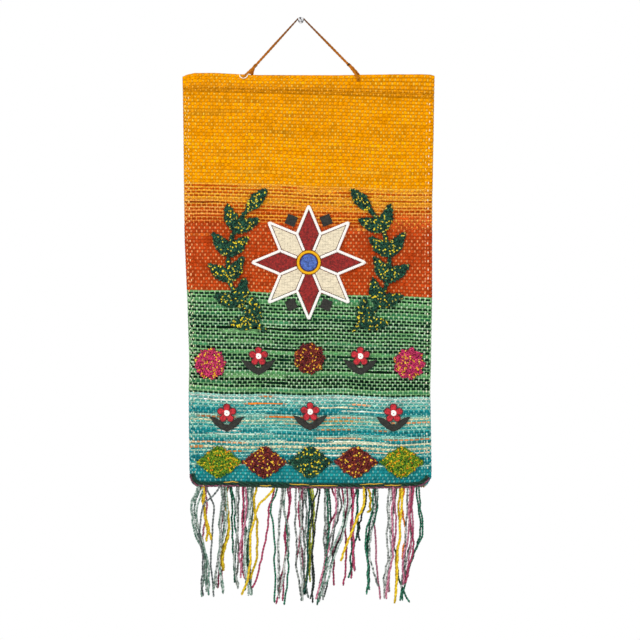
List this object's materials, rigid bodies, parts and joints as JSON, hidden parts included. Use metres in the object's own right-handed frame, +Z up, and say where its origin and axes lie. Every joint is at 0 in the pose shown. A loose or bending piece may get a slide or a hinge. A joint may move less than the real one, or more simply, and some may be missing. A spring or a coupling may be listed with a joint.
{
  "type": "jute wall hanging on a push pin",
  "caption": "Striped handwoven jute wall hanging with felt, cord and yarn pile applique, a couched hem and a loose yarn fringe, hung by a twisted cord from a push pin.",
  "frame": {"origin": "on the wall plane, at the middle of the push pin that holds the hanging cord", "axes": "+Z up the wall, -Y out of the wall towards the viewer, +X to the viewer's right"},
  "size_m": [0.3802, 0.0253, 0.8898],
  "materials": {
    "woven_jute": "handwoven dyed jute, matt",
    "hem_yarn": "couched dark green and magenta yarns",
    "fringe_yarn": "loose twisted yarns of many colours",
    "jute_cord": "dyed twisted jute cord",
    "clear_plastic": "clear moulded plastic on a steel needle",
    "red_felt": "pressed wool felt",
    "black_felt": "pressed wool felt",
    "blue_felt": "pressed wool felt",
    "cream_burlap": "undyed plain woven burlap",
    "white_cord": "couched white cotton cord",
    "yellow_cord": "couched yellow cord",
    "green_pile": "stitched yarn pile, dark green with yellow flecks",
    "olive_pile": "stitched yarn pile, olive with yellow flecks",
    "magenta_pile": "stitched yarn pile, magenta with orange flecks",
    "maroon_pile": "stitched yarn pile, maroon with yellow flecks"
  },
  "bodies": {
    "root": {"cloth": "woven_jute", "hem_yarns": "hem_yarn", "fringe": "fringe_yarn", "push_pin": "clear_plastic", "cord": "jute_cord", "cord_tail_left": "jute_cord", "cord_tail_right": "jute_cord", "star_diamond_1": "red_felt", "star_diamond_2": "cream_burlap", "star_diamond_3": "red_felt", "star_diamond_4": "cream_burlap", "star_diamond_5": "red_felt", "star_diamond_6": "cream_burlap", "star_diamond_7": "red_felt", "star_diamond_8": "cream_burlap", "star_cords": "white_cord", "star_ring": "yellow_cord", "star_middle": "blue_felt", "gem_1": "black_felt", "gem_2": "black_felt", "gem_3": "black_felt", "gem_4": "black_felt", "wreath_left": "green_pile", "wreath_right": "green_pile", "rosette_left": "magenta_pile", "rosette_middle": "maroon_pile", "rosette_right": "magenta_pile", "foot_diamond_1": "olive_pile", "foot_diamond_2": "maroon_pile", "foot_diamond_3": "green_pile", "foot_diamond_4": "maroon_pile", "foot_diamond_5": "olive_pile", "flower_leaves_1": "black_felt", "flower_petals_1": "red_felt", "flower_middle_1": "white_cord", "flower_leaves_2": "black_felt", "flower_petals_2": "red_felt", "flower_middle_2": "white_cord", "flower_leaves_3": "black_felt", "flower_petals_3": "red_felt", "flower_middle_3": "white_cord", "flower_leaves_4": "black_felt", "flower_petals_4": "red_felt", "flower_middle_4": "white_cord", "flower_leaves_5": "black_felt", "flower_petals_5": "red_felt", "flower_middle_5": "white_cord"}
  },
  "joints": []
}
